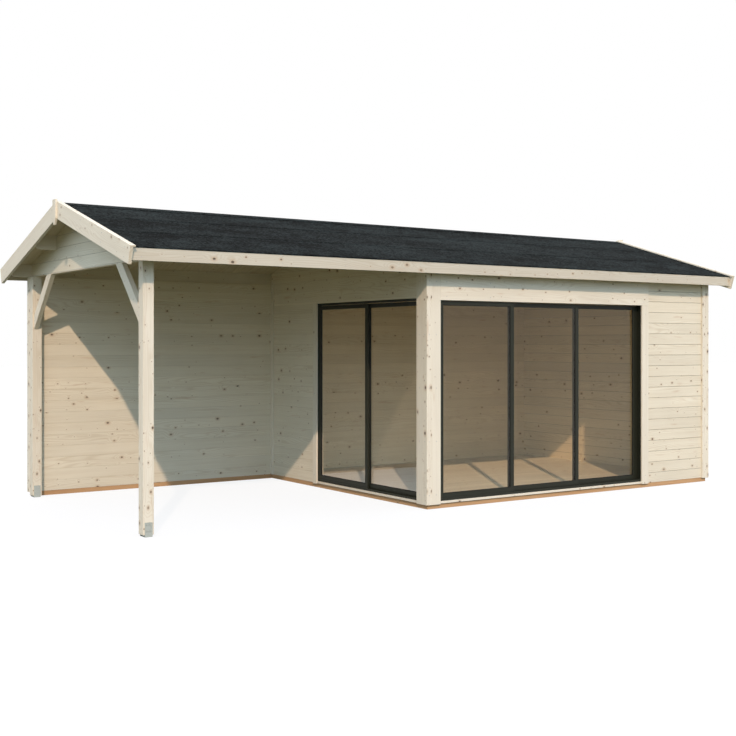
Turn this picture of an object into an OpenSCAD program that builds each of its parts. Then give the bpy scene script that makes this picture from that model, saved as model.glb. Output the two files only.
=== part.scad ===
// Wooden garden house: a closed room with sliding glass doors on the right and an open
// terrace on the left, both under one low gable roof.
// Millimetres, Z up. X runs along the ridge, Y from front to rear, Z = 0 is the ground.

/* [Building] */
// Length from the terrace posts to the right-hand corner boards
building_l = 6585; // [5500:5:7900]
// Depth over the corner boards, front to rear
building_d = 3010; // [2500:5:3600]
// Length of the closed room over its corner boards
room_l = 3870; // [3200:5:4600]
// Height of the wall tops above the ground
wall_top_z = 2175; // [2060:5:2500]
// Thickness of the timber walls
wall_t = 60; // [44:1:90]
// Thickness of trims and corner boards
trim_t = 20; // [15:1:28]

/* [Base] */
// Height of the foundation beams
base_h = 46; // [40:1:70]
// Width of the foundation beams
base_w = 50; // [40:1:55]
// Thickness of the board floor, which lies level with the door sills
floor_t = 20; // [18:1:28]
// Width of the floor joists
joist_w = 45; // [40:1:60]
// Largest distance between the middles of two joists
joist_step = 600; // [400:10:700]
// Drop of the trims below the walls
trim_drop = 6; // [0:1:15]

/* [Roof] */
// Pitch of both roof slopes in degrees
roof_pitch = 16.75; // [14:0.25:22]
// Roof overhang in front of and behind the corner boards
eave_overhang = 145; // [120:5:260]
// Roof overhang at the terrace gable
left_overhang = 210; // [160:5:300]
// Roof overhang at the room gable
right_overhang = 195; // [160:5:300]
// Thickness of the roof boards
board_t = 19; // [16:1:24]
// Thickness of the bitumen felt
felt_t = 4; // [3:1:6]
// Height of the fascia boards
fascia_h = 105; // [80:5:120]
// Depth of the bargeboards, square to the slope
barge_h = 134; // [120:1:160]
// Thickness of the bargeboards
barge_t = 28; // [20:1:32]
// Width of the cap strips on the bargeboards
cap_w = 45; // [35:1:60]
// Thickness of the cap strips
cap_t = 14; // [10:1:20]
// Width of the purlins
purlin_w = 60; // [45:1:70]
// Depth of the ridge and middle purlins
purlin_h = 130; // [110:1:150]
// Distance of the middle purlins from the ridge
mid_purlin_y = 710; // [600:5:800]
// Width of the eave purlins
eave_purlin_w = 45; // [35:1:55]
// Height of the eave purlins at their inner face
eave_purlin_h = 120; // [100:1:140]

/* [Terrace] */
// Side of the square terrace posts
post_s = 92; // [80:1:100]
// Height of the ground gap below the posts
post_z = 16; // [12:1:30]
// Height of the steel post shoes
shoe_h = 115; // [90:5:140]
// Width of the steel post shoes
shoe_w = 64; // [50:1:76]
// Setback of the gable panel behind the outer post faces
gable_setback = 25; // [15:1:30]
// Depth of the diagonal braces
brace_w = 96; // [70:1:110]
// Thickness of the diagonal braces
brace_t = 45; // [40:1:60]
// Height of the brace foot on the post, measured below the gable panel
brace_drop = 522; // [400:1:600]

/* [Sliding doors] */
// Left edge of the front door, from the room's left corner
door_x = 160; // [140:5:200]
// Clear width between the trims of the front door
door_w = 2660; // [2200:10:3100]
// Height of both door frames
door_h = 1868; // [1700:1:1940]
// How far the frames reach behind the trims
frame_lap = 45; // [35:1:60]
// Clear length of the side door, from the corner trim to the rear trim
side_door_l = 1775; // [1500:5:1900]
// Width of the aluminium frame profiles
frame_w = 22; // [18:1:30]
// Width of the stiles where two leaves overlap
stile_w = 44; // [34:1:60]
// Width of the stiles at the jambs
outer_stile_w = 68; // [50:1:80]
// Height of the bottom rails
bottom_rail_h = 44; // [35:1:80]
// Height of the top rails
top_rail_h = 36; // [30:1:60]
// Thickness of the leaves
leaf_t = 21; // [18:1:28]
// Gap beside and above each leaf
leaf_gap = 5; // [5:1:8]
// Gap between the leaves and beside their tracks
track_gap = 6; // [6:1:10]
// Thickness of the glass
glass_t = 6; // [4:1:10]
// Height of the wooden sills under the frames
sill_h = 20; // [16:1:30]

/* [Hidden] */

pine = [0.90, 0.85, 0.74];
treated = [0.74, 0.53, 0.40];
felt_grey = [0.17, 0.20, 0.22];
anthracite = [0.20, 0.22, 0.22];
galvanised = [0.62, 0.66, 0.67];
tint = [0.75, 0.72, 0.65, 0.4];

// The origin is on the ground under the middle of the roof.
roof_l = building_l + left_overhang + right_overhang;
left_x = -roof_l / 2 + left_overhang;
right_x = roof_l / 2 - right_overhang;
room_x = right_x - room_l;
trim_y = building_d / 2;
wall_y = trim_y - trim_t;
inner_y = wall_y - wall_t;
side_x = room_x + trim_t;
right_wall_x = right_x - trim_t;
beam_setback = 5;
run_gap = 0.3;
seat_gap = 0.1;

// Roof heights: under_z is the underside of the roof boards at a distance y from the ridge.
eave_y = trim_y + eave_overhang;
slope = tan(roof_pitch);
plumb = 1 / cos(roof_pitch);
gable_edge_y = wall_y - eave_purlin_w;
function under_z(y) = wall_top_z + eave_purlin_h + (gable_edge_y - abs(y)) * slope;
function board_under_z(y) = under_z(y) + seat_gap;
function board_z(y) = board_under_z(y) + board_t * plumb;
function felt_z(y) = board_z(y) + felt_t * plumb;
fascia_t = 20;
barge_end = 45;
cap_end = 50;

// Front door: the frame reaches behind the trims on both sides.
door_x0 = room_x + door_x;
door_x1 = door_x0 + door_w;
frame_x0 = door_x0 - frame_lap;
frame_x1 = door_x1 + frame_lap;
frame_z0 = base_h + sill_h;
frame_z1 = frame_z0 + door_h;
header_lap = 20;
header_z = frame_z1 - header_lap;
track_pitch = leaf_t + track_gap;
door_depth = 3 * leaf_t + 4 * track_gap;
leaf_z0 = frame_z0 + frame_w + run_gap;
leaf_h = door_h - 2 * frame_w - run_gap - leaf_gap;
door_leaf_l = (frame_x1 - frame_x0 - 2 * (frame_w + leaf_gap) + 2 * stile_w) / 3;
door_leaf_x0 = frame_x0 + frame_w + leaf_gap;

// Side door: its frame starts behind the corner trim.
corner_w = 60;
corner_trim_y = -trim_y + door_x;
side_y0 = -inner_y;
side_trim_y = corner_trim_y + side_door_l;
side_y1 = side_trim_y + frame_lap;
side_depth = 2 * leaf_t + 3 * track_gap;
side_leaf_l = (side_y1 - side_y0 - 2 * (frame_w + leaf_gap) + stile_w) / 2;
side_leaf_y0 = side_y0 + frame_w + leaf_gap;
side_trim_w = 73;
door_trim_w = 96;
corner_board_w = 100;
nosing = 15;
lining_t = 20;
lining_w = 50;

// Terrace
front_post_y = -gable_edge_y;
shoe_t = 4;
rear_post_y = inner_y - shoe_t - post_s;
post_x = left_x + post_s;
gable_x = left_x + gable_setback;
brace_setback = 13;
brace_x = left_x + brace_setback;

// A slab from one corner to the opposite one.
module slab(x0, x1, y0, y1, z0, z1) {
    translate([x0, y0, z0]) cube([x1 - x0, y1 - y0, z1 - z0]);
}

// A profile drawn in the plane of Y and Z, carried along X.
module along_x(x0, x1) {
    translate([x0, 0, 0]) rotate([90, 0, 90]) linear_extrude(x1 - x0) children();
}

module mirror_y(rear) {
    mirror([0, rear ? 1 : 0, 0]) children();
}

module base_beam_x(x0, y0) {
    slab(x0, right_wall_x - beam_setback, y0, y0 + base_w, 0, base_h);
}

module base_long_beams() {
    color(treated) {
        base_beam_x(side_x + beam_setback, -wall_y + beam_setback);
        base_beam_x(left_x + trim_t + beam_setback, wall_y - beam_setback - base_w);
    }
}

module base_beam_y(x0) {
    slab(x0, x0 + base_w, -wall_y + beam_setback + base_w, wall_y - beam_setback - base_w, 0, base_h);
}

module base_cross_beams() {
    color(treated) {
        base_beam_y(side_x + beam_setback);
        base_beam_y(right_wall_x - beam_setback - base_w);
    }
}

// Joists between the long beams, the outer two against the cross beams.
module floor_joists() {
    edge = beam_setback + base_w;
    first_x = side_x + edge;
    last_x = right_wall_x - edge - joist_w;
    bays = ceil((last_x - first_x) / joist_step);
    color(treated)
        for (i = [0:bays]) {
            x = first_x + i * (last_x - first_x) / bays;
            slab(x, x + joist_w, -wall_y + edge, wall_y - edge, 0, frame_z0 - floor_t);
        }
}

// The ground that the two sills take up.
module sill_plan() {
    translate([frame_x0, -wall_y]) square([frame_x1 - frame_x0, door_depth]);
    translate([side_x, side_y0]) square([side_depth, side_y1 - side_y0]);
}

// The floor fills the room between the walls, up to the sills in both door openings.
module floor() {
    room_x0 = side_x + wall_t;
    room_x1 = right_wall_x - wall_t;
    color(pine) translate([0, 0, frame_z0 - floor_t]) linear_extrude(floor_t)
        difference() {
            union() {
                translate([room_x0, -inner_y]) square([room_x1 - room_x0, 2 * inner_y]);
                translate([frame_x0, -wall_y]) square([frame_x1 - frame_x0, wall_y]);
                translate([side_x, side_y0]) square([room_x1 - side_x, side_y1 - side_y0]);
            }
            sill_plan();
        }
}

module rear_wall_terrace() {
    color(pine) slab(left_x + trim_t, side_x, inner_y, wall_y, base_h, wall_top_z);
}

module rear_wall_room() {
    color(pine) slab(side_x, right_wall_x, inner_y, wall_y, base_h, wall_top_z);
}

function reversed(list) = [for (i = [len(list) - 1:-1:0]) list[i]];

// One half of a gable from the ridge down to the wall tops, with notches for the ridge and
// middle purlins; side is -1 on the front half.
function gable_half(side) =
    let (ridge_y = purlin_w / 2, y0 = mid_purlin_y - ridge_y, y1 = mid_purlin_y + ridge_y)
    [[side * ridge_y, under_z(ridge_y) - purlin_h], [side * ridge_y, under_z(ridge_y)],
     [side * y0, under_z(y0)], [side * y0, under_z(y0) - purlin_h],
     [side * y1, under_z(y0) - purlin_h], [side * y1, under_z(y1)],
     [side * gable_edge_y, under_z(gable_edge_y)], [side * gable_edge_y, wall_top_z]];

// The stretch of a gable wall that runs down between the long walls.
function gable_foot(z) = [[inner_y, wall_top_z], [inner_y, z], [-inner_y, z], [-inner_y, wall_top_z]];

module gable_outline(foot) {
    polygon(concat(gable_half(1), foot, reversed(gable_half(-1))));
}

module right_wall() {
    color(pine) along_x(right_wall_x - wall_t, right_wall_x) gable_outline(gable_foot(base_h));
}

module partition_wall() {
    color(pine) slab(side_x, side_x + wall_t, side_y1, inner_y, base_h, frame_z1);
}

module partition_upper() {
    color(pine) along_x(side_x, side_x + wall_t) gable_outline(gable_foot(frame_z1));
}

module front_wall() {
    color(pine) slab(frame_x1, right_wall_x, -wall_y, -inner_y, base_h, wall_top_z);
}

module front_wall_header() {
    color(pine) slab(side_x, frame_x1, -wall_y, -inner_y, frame_z1, wall_top_z);
}

module corner_post() {
    color(pine) slab(side_x, frame_x0, -wall_y, -inner_y, base_h, frame_z1);
}

module left_gable() {
    color(pine) along_x(gable_x, gable_x + wall_t) gable_outline([]);
}

module terrace_posts() {
    color(pine)
        for (y = [front_post_y, rear_post_y])
            slab(left_x, post_x, y, y + post_s, post_z, wall_top_z);
}

// U-shaped steel shoe with a foot plate and a raised seat for the post.
module post_shoe(y) {
    middle_x = left_x + post_s / 2;
    seat_t = 6;
    foot_t = 5;
    for (face_y = [y - shoe_t, y + post_s])
        slab(middle_x - shoe_w / 2, middle_x + shoe_w / 2, face_y, face_y + shoe_t, 0, shoe_h);
    for (z = [[0, foot_t], [post_z - seat_t, post_z]])
        slab(middle_x - shoe_w / 2, middle_x + shoe_w / 2, y, y + post_s, z[0], z[1]);
}

module post_shoes() {
    color(galvanised) {
        post_shoe(front_post_y);
        post_shoe(rear_post_y);
    }
}

// Brace at 45 degrees from a post face up to the gable panel; side is 1 towards the rear.
module brace(face_y, side) {
    foot_z = wall_top_z - brace_drop;
    width = brace_w * sqrt(2);
    along_x(brace_x, brace_x + brace_t)
        polygon([[face_y, foot_z], [face_y + side * brace_drop, wall_top_z],
                 [face_y + side * (brace_drop - width), wall_top_z], [face_y, foot_z + width]]);
}

module braces() {
    color(pine) {
        brace(front_post_y + post_s, 1);
        brace(rear_post_y, -1);
    }
}

module ridge_profile() {
    half = purlin_w / 2;
    bottom = under_z(half) - purlin_h;
    polygon([[-half, bottom], [half, bottom], [half, under_z(half)], [0, under_z(0)], [-half, under_z(half)]]);
}

module mid_profile() {
    y0 = mid_purlin_y - purlin_w / 2;
    y1 = mid_purlin_y + purlin_w / 2;
    bottom = under_z(y0) - purlin_h;
    polygon([[y0, bottom], [y1, bottom], [y1, under_z(y1)], [y0, under_z(y0)]]);
}

module eave_profile() {
    polygon([[gable_edge_y, wall_top_z], [wall_y, wall_top_z],
             [wall_y, under_z(wall_y)], [gable_edge_y, under_z(gable_edge_y)]]);
}

// A purlin between the bargeboards, with the lower corner of both ends bevelled.
module purlin(bottom_z) {
    half = roof_l / 2 - barge_t;
    bevel = 40;
    difference() {
        along_x(-half, half) children();
        for (side = [-1, 1])
            translate([side * half, 0, bottom_z]) rotate([0, 45, 0])
                cube([bevel * sqrt(2), 2 * trim_y, bevel * sqrt(2)], center = true);
    }
}

module ridge_purlin() {
    color(pine) purlin(under_z(purlin_w / 2) - purlin_h) ridge_profile();
}

module mid_purlins() {
    color(pine)
        for (rear = [false, true])
            mirror_y(rear) purlin(under_z(mid_purlin_y - purlin_w / 2) - purlin_h) mirror([1, 0]) mid_profile();
}

module eave_purlins() {
    color(pine)
        for (rear = [false, true])
            mirror_y(rear) purlin(wall_top_z) mirror([1, 0]) eave_profile();
}

module roof_boards() {
    y1 = -eave_y + fascia_t;
    half = roof_l / 2 - barge_t;
    color(pine) along_x(-half, half)
        polygon([[0, board_under_z(0)], [0, board_z(0)], [y1, board_z(y1)], [y1, board_under_z(y1)]]);
}

module roof_boards_front() { roof_boards(); }
module roof_boards_rear() { mirror_y(true) roof_boards(); }

module felt() {
    drip = 4;
    y1 = -eave_y - drip;
    half = roof_l / 2 - barge_t;
    color(felt_grey) along_x(-half, half)
        polygon([[0, board_z(0) + seat_gap], [0, felt_z(0)], [y1, felt_z(y1)], [y1, board_z(y1) + seat_gap]]);
}

module felt_front() { felt(); }
module felt_rear() { mirror_y(true) felt(); }

module fascias() {
    half = roof_l / 2 - barge_t;
    y1 = -eave_y + fascia_t;
    bottom = board_z(eave_y) - fascia_h;
    color(pine)
        for (rear = [false, true])
            mirror_y(rear) along_x(-half, half)
                polygon([[-eave_y, bottom], [y1, bottom], [y1, board_z(y1)], [-eave_y, board_z(eave_y)]]);
}

// A strip that follows the front slope: top and bottom are its distances above the felt,
// square to the slope. The lower end is cut square.
module slope_strip(x0, x1, bottom, top, end_y) {
    function at(y, rise) = [y, felt_z(y) + rise * plumb];
    function square_cut(rise) = at(-end_y + (top - rise) * sin(roof_pitch), rise);
    along_x(x0, x1) polygon([at(0, bottom), at(0, top), square_cut(top), square_cut(bottom)]);
}

module gable_strips(width, bottom, top, end_y) {
    color(pine) {
        slope_strip(-roof_l / 2, -roof_l / 2 + width, bottom, top, end_y);
        slope_strip(roof_l / 2 - width, roof_l / 2, bottom, top, end_y);
    }
}

module bargeboards_front() { gable_strips(barge_t, -barge_h, 0, eave_y + barge_end); }
module bargeboards_rear() { mirror_y(true) bargeboards_front(); }
module barge_caps_front() { gable_strips(cap_w, 0, cap_t, eave_y + cap_end); }
module barge_caps_rear() { mirror_y(true) barge_caps_front(); }

// Narrow board that covers the joint of the bargeboards at the ridge, tapered at its foot.
module finials() {
    half_w = 38;
    half_tip = 10;
    height = 225;
    taper = 60;
    top_z = felt_z(0) + cap_t * plumb + 10;
    low_z = top_z - height;
    color(pine)
        for (x = [-roof_l / 2 - trim_t, roof_l / 2])
            along_x(x, x + trim_t)
                polygon([[-half_tip, low_z], [half_tip, low_z], [half_w, low_z + taper],
                         [half_w, top_z], [-half_w, top_z], [-half_w, low_z + taper]]);
}

// An L-shaped pair of corner boards at a corner; leg and back are their widths.
module corner_board(x, side_x_dir, side_y_dir, leg, back) {
    y = side_y_dir * trim_y;
    translate([x, y, base_h - trim_drop]) mirror([side_x_dir > 0 ? 1 : 0, 0, 0])
        mirror([0, side_y_dir > 0 ? 1 : 0, 0])
            linear_extrude(wall_top_z - base_h + trim_drop)
                polygon([[0, 0], [leg, 0], [leg, trim_t], [trim_t, trim_t], [trim_t, back], [0, back]]);
}

module corner_boards() {
    color(pine) {
        corner_board(room_x, -1, -1, corner_w, corner_w);
        corner_board(right_x, 1, -1, corner_board_w, corner_board_w);
        corner_board(right_x, 1, 1, corner_board_w, corner_board_w);
        corner_board(left_x, -1, 1, corner_board_w, trim_t + wall_t);
    }
}

module door_trims() {
    color(pine) {
        slab(room_x + corner_w, door_x0, -trim_y, -wall_y, base_h - trim_drop, wall_top_z);
        slab(door_x1, door_x1 + door_trim_w, -trim_y, -wall_y, base_h - trim_drop, header_z);
    }
}

module door_header_trim() {
    color(pine) slab(door_x0, door_x1 + door_trim_w, -trim_y, -wall_y, header_z, wall_top_z);
}

// Trims on the terrace side of the partition: beside the glass door and in the rear corner.
module side_trims() {
    low_z = base_h - trim_drop;
    batten_w = 50;
    cover = 6;
    color(pine) {
        slab(room_x, side_x, -trim_y + corner_w, corner_trim_y, low_z, wall_top_z);
        slab(room_x, side_x, side_trim_y, side_trim_y + side_trim_w, low_z, frame_z1 + cover);
        slab(room_x, side_x, inner_y - batten_w, inner_y, base_h, wall_top_z);
    }
}

// Wooden sills under both door frames; their nosings lie between the trims.
module door_sills() {
    color(pine) {
        slab(frame_x0, frame_x1, -wall_y, -wall_y + door_depth, base_h, frame_z0);
        slab(door_x0, door_x1, -wall_y - nosing, -wall_y, base_h, frame_z0);
        slab(side_x, side_x + side_depth, side_y0, side_y1, base_h, frame_z0);
        slab(side_x - nosing, side_x, corner_trim_y, side_trim_y, base_h, frame_z0);
    }
}

// A rectangular ring in the plane of X and Z: length, height and depth, then the widths of
// its left, right, bottom and top profiles.
module ring(size, left, right, bottom, top) {
    difference() {
        cube([size[0], size[2], size[1]]);
        translate([left, -1, bottom])
            cube([size[0] - left - right, size[2] + 2, size[1] - bottom - top]);
    }
}

// Turns a piece from the front wall's direction into the partition's.
module side_place(x, y, z) {
    translate([x, y, z]) rotate([0, 0, 90]) mirror([0, 1, 0]) children();
}

module door_frame() {
    color(anthracite) translate([frame_x0, -wall_y, frame_z0])
        ring([frame_x1 - frame_x0, door_h, door_depth], frame_w, frame_w, frame_w, frame_w);
}

module side_door_frame() {
    color(anthracite) side_place(side_x, side_y0, frame_z0)
        ring([side_y1 - side_y0, door_h, side_depth], frame_w, frame_w, frame_w, frame_w);
}

// A lining in the room around one jamb, drawn in plan from the corner between the jamb and the
// inner face of the wall. depth is how far the frame stands out of the wall into the room.
module lining(width, depth) {
    face = max(depth, 0) + lining_t;
    linear_extrude(door_h) {
        translate([-frame_w, depth]) square([frame_w, face - depth]);
        square([width, face]);
    }
}

module door_linings() {
    color(pine) {
        translate([frame_x0, -inner_y, frame_z0]) mirror([1, 0, 0])
            lining(frame_x0 - side_x - wall_t, door_depth - wall_t);
        translate([frame_x1, -inner_y, frame_z0]) lining(lining_w, door_depth - wall_t);
        side_place(side_x + wall_t, side_y1, frame_z0) lining(lining_w, side_depth - wall_t);
    }
}

// A leaf is drawn from its left edge; left and right are the widths of its stiles.
module leaf_ring(l, left, right) {
    color(anthracite) ring([l, leaf_h, leaf_t], left, right, bottom_rail_h, top_rail_h);
}

module leaf_pane(l, left, right) {
    color(tint) translate([left, (leaf_t - glass_t) / 2, bottom_rail_h])
        cube([l - left - right, glass_t, leaf_h - bottom_rail_h - top_rail_h]);
}

// Leaves are counted from the left, each one track further in than the one before.
module door_leaf_place(index) {
    translate([door_leaf_x0 + index * (door_leaf_l - stile_w),
               -wall_y + track_gap + index * track_pitch, leaf_z0]) children();
}

module door_leaf_left() { door_leaf_place(0) leaf_ring(door_leaf_l, outer_stile_w, stile_w); }
module door_leaf_middle() { door_leaf_place(1) leaf_ring(door_leaf_l, stile_w, stile_w); }
module door_leaf_right() { door_leaf_place(2) leaf_ring(door_leaf_l, stile_w, outer_stile_w); }
module door_glass_left() { door_leaf_place(0) leaf_pane(door_leaf_l, outer_stile_w, stile_w); }
module door_glass_middle() { door_leaf_place(1) leaf_pane(door_leaf_l, stile_w, stile_w); }
module door_glass_right() { door_leaf_place(2) leaf_pane(door_leaf_l, stile_w, outer_stile_w); }

// The rear leaf of the side door runs on the outer track, the front leaf on the inner one.
module side_leaf_place(rear) {
    side_place(side_x + track_gap + (rear ? 0 : track_pitch),
               side_leaf_y0 + (rear ? side_leaf_l - stile_w : 0), leaf_z0) children();
}

module side_leaf_front() { side_leaf_place(false) leaf_ring(side_leaf_l, outer_stile_w, stile_w); }
module side_leaf_rear() { side_leaf_place(true) leaf_ring(side_leaf_l, stile_w, outer_stile_w); }
module side_glass_front() { side_leaf_place(false) leaf_pane(side_leaf_l, outer_stile_w, stile_w); }
module side_glass_rear() { side_leaf_place(true) leaf_pane(side_leaf_l, stile_w, outer_stile_w); }

base_long_beams();
base_cross_beams();
floor_joists();
floor();
rear_wall_terrace();
rear_wall_room();
right_wall();
partition_wall();
partition_upper();
front_wall();
front_wall_header();
corner_post();
left_gable();
terrace_posts();
post_shoes();
braces();
ridge_purlin();
mid_purlins();
eave_purlins();
roof_boards_front();
roof_boards_rear();
felt_front();
felt_rear();
fascias();
bargeboards_front();
bargeboards_rear();
barge_caps_front();
barge_caps_rear();
finials();
corner_boards();
door_trims();
door_header_trim();
side_trims();
door_sills();
door_frame();
side_door_frame();
door_linings();
door_leaf_left();
door_leaf_middle();
door_leaf_right();
side_leaf_front();
side_leaf_rear();
door_glass_left();
door_glass_middle();
door_glass_right();
side_glass_front();
side_glass_rear();
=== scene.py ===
import math

import bmesh
import bpy
from mathutils import Matrix, Vector


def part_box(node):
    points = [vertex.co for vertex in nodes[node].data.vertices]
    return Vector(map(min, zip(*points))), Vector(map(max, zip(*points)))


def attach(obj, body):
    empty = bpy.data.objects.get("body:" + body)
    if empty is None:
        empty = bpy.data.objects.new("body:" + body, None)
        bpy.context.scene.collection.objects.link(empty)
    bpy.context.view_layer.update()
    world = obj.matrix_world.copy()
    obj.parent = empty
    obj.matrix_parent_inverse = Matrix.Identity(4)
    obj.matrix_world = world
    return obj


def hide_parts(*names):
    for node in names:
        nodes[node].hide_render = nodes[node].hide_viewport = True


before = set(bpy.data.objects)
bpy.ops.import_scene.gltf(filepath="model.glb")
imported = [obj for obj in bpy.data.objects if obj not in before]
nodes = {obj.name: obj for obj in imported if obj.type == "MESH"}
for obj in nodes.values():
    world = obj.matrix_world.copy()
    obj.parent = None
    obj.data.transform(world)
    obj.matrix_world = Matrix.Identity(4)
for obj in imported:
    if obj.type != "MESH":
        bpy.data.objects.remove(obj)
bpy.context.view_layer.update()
print("frame loaded:", len(nodes), "nodes")

meshCare = {
    "same": 1e-4,  # coordinates this near count as the same, in metres
    "weld": 2e-5,  # vertices this near are joined
    "flat": 0.01,  # faces that turn less than this, in radians, become one
    "clear": 0.0002,  # cutters and the ridge strip stand this far off a face
}


def undersidePoint(node, atEave):
    pick = max if atEave else min
    reach = pick(abs(v.co.y) for v in nodes[node].data.vertices)
    level = min(v.co.z for v in nodes[node].data.vertices if abs(abs(v.co.y) - reach) < meshCare["same"])
    return reach, level


eaveReach, eaveLevel = undersidePoint("roof_boards_front", True)
ridgeReach, ridgeLevel = undersidePoint("roof_boards_front", False)
pitchAngle = math.atan2(ridgeLevel - eaveLevel, eaveReach - ridgeReach)
print("roof pitch in degrees:", round(math.degrees(pitchAngle), 3))


# small helpers for node trees

def addNode(tree, kind, inputs=None, **settings):
    node = tree.nodes.new(kind)
    for key, value in settings.items():
        setattr(node, key, value)
    for key, value in (inputs or {}).items():
        plug(tree, node.inputs[key], value)
    return node


def plug(tree, socket, value):
    if isinstance(value, bpy.types.NodeSocket):
        tree.links.new(value, socket)
    elif value is not None:
        socket.default_value = value


def startTree(name, kind, inputs, outputs):
    tree = bpy.data.node_groups.new(name, kind)
    for direction, sockets in (("INPUT", inputs), ("OUTPUT", outputs)):
        for label, sort in sockets:
            tree.interface.new_socket(name=label, in_out=direction, socket_type="NodeSocket" + sort)
    return tree, addNode(tree, "NodeGroupInput").outputs


def calc(tree, operation, a, b=None, c=None, clamp=False):
    node = addNode(tree, "ShaderNodeMath", operation=operation, use_clamp=clamp)
    for socket, value in zip(node.inputs, (a, b, c)):
        plug(tree, socket, value)
    return node.outputs[0]


def times(tree, a, b):
    return calc(tree, "MULTIPLY", a, b)


def plus(tree, a, b):
    return calc(tree, "ADD", a, b)


def minus(tree, a, b):
    return calc(tree, "SUBTRACT", a, b)


def timesPlus(tree, a, b, c):
    return calc(tree, "MULTIPLY_ADD", a, b, c)


def ramp(tree, value, low, high, toLow=0.0, toHigh=1.0):
    node = addNode(tree, "ShaderNodeMapRange", interpolation_type="SMOOTHSTEP")
    for socket, number in zip(node.inputs, (value, low, high, toLow, toHigh)):
        plug(tree, socket, number)
    return node.outputs[0]


def blendColour(tree, share, a, b, mode="MIX"):
    node = addNode(tree, "ShaderNodeMix", data_type="RGBA", blend_type=mode)
    plug(tree, node.inputs[0], share)
    plug(tree, node.inputs[6], a)
    plug(tree, node.inputs[7], b)
    return node.outputs[2]


def joinXyz(tree, x, y, z):
    return addNode(tree, "ShaderNodeCombineXYZ", {0: x, 1: y, 2: z}).outputs[0]


def shadeColour(tree, colour, shade):
    return blendColour(tree, 1.0, colour, joinXyz(tree, shade, shade, shade), "MULTIPLY")


def noiseAt(tree, vector, scale=1.0, detail=2.0, rough=0.5):
    node = addNode(tree, "ShaderNodeTexNoise")
    plug(tree, node.inputs["Vector"], vector)
    node.inputs["Scale"].default_value = scale
    node.inputs["Detail"].default_value = detail
    node.inputs["Roughness"].default_value = rough
    return node.outputs["Fac"]


def mixShaders(tree, share, first, second):
    return addNode(tree, "ShaderNodeMixShader", {0: share, 1: first, 2: second}).outputs[0]


def startMaterial(name, **values):
    mat = bpy.data.materials.new(name)
    mat.use_nodes = True
    shader = mat.node_tree.nodes["Principled BSDF"]
    for key, value in values.items():
        shader.inputs[key].default_value = value
    return mat, mat.node_tree, shader


def dressShader(tree, shader, colour, rough, height, bump):
    strength, depth = bump
    relief = addNode(tree, "ShaderNodeBump", {"Height": height, "Strength": strength, "Distance": depth})
    plug(tree, shader.inputs["Base Color"], colour)
    plug(tree, shader.inputs["Roughness"], rough)
    plug(tree, shader.inputs["Normal"], relief.outputs[0])


# planed softwood: one group for the grain, one material for each direction and finish

grain = {
    "knotAlong": 6.4,  # knots looked for in cells of 1/6.4 m along the grain
    "knotAcross": 13.0,  # and 1/13 m across it
    "knotSmall": 0.0026,  # radii
    "knotLarge": 0.0140,
    "knotSkew": 3.6,  # the higher, the fewer large knots
    "knotSquash": 0.72,  # knots are longer along the grain by one over this
    "knotRagged": (160.0, 0.003),  # scale and reach of their uneven edge
    "knotHeart": (0.105, 0.075, 0.048, 1),
    "heartPale": 0.60,  # cover of the palest heart
    "knotRim": (0.50, 0.330, 0.180, 1),
    "rimShare": 0.45,
    "rimReach": (2.6, 0.7),  # outer and inner end of the rim, in radii
    "boardKnots": (0.35, 1.9),  # share of the knots that the clearest and the worst board get
    "swirlReach": 7.0,  # growth lines bend round a knot within so many radii
    "swirlTurns": 2.2,
    "stain": (0.56, 0.385, 0.235, 1),
    "stainRange": (0.64, 0.79),
    "stainShare": 0.48,
    "paintedJointShadeReach": 0.0026,  # half width of the painted shade in the gap between two boards
    # colour of the painted shade in the joints between boards
    "paintedJointShadeTone": (0.120, 0.080, 0.050, 1),
    "lineFine": 0.0065,  # growth lines, metres apart on a quarter sawn board
    "lineWide": 0.0210,  # and on a flat sawn one
    "lineSharp": 2.6,
    "lineShare": 0.62,
    "streakShare": 0.38,
    "bendTurns": 16.0,
    "cloudShade": 0.16,
    "fibreShade": 0.12,
    "endRings": (9.0, 0.2, 220.0),  # hearts a metre, place of the first, scale of the rings
    "endTone": (0.92, 0.88, 0.82, 1),
    "endFacing": 0.72,  # a face that looks this much along the grain is a sawn end
    "boardShift": (23.0, 9.0),  # every board is cut from another place of the timber, up to so far
    "cloud": 1.7,
    "relief": {"fibre": 0.35, "lines": 0.35, "knot": 0.6},
    "rough": {"base": 0.56, "streak": 0.18, "knot": 0.2},
    "bump": (0.5, 0.0006),  # strength and depth
    "sheen": 0.3,
}

grainPatterns = {  # repeats a metre along, across and the third way, detail, roughness
    "bend": (0.75, 6.5, 3.1, 1.5, 0.5),
    "streak": (0.9, 26.0, 5.3, 3.0, 0.6),
    "fibre": (9.0, 420.0, 40.0, 2.0, 0.6),
    "blot": (2.6, 17.0, 1.0, 2.0, 0.5),
}


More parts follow.
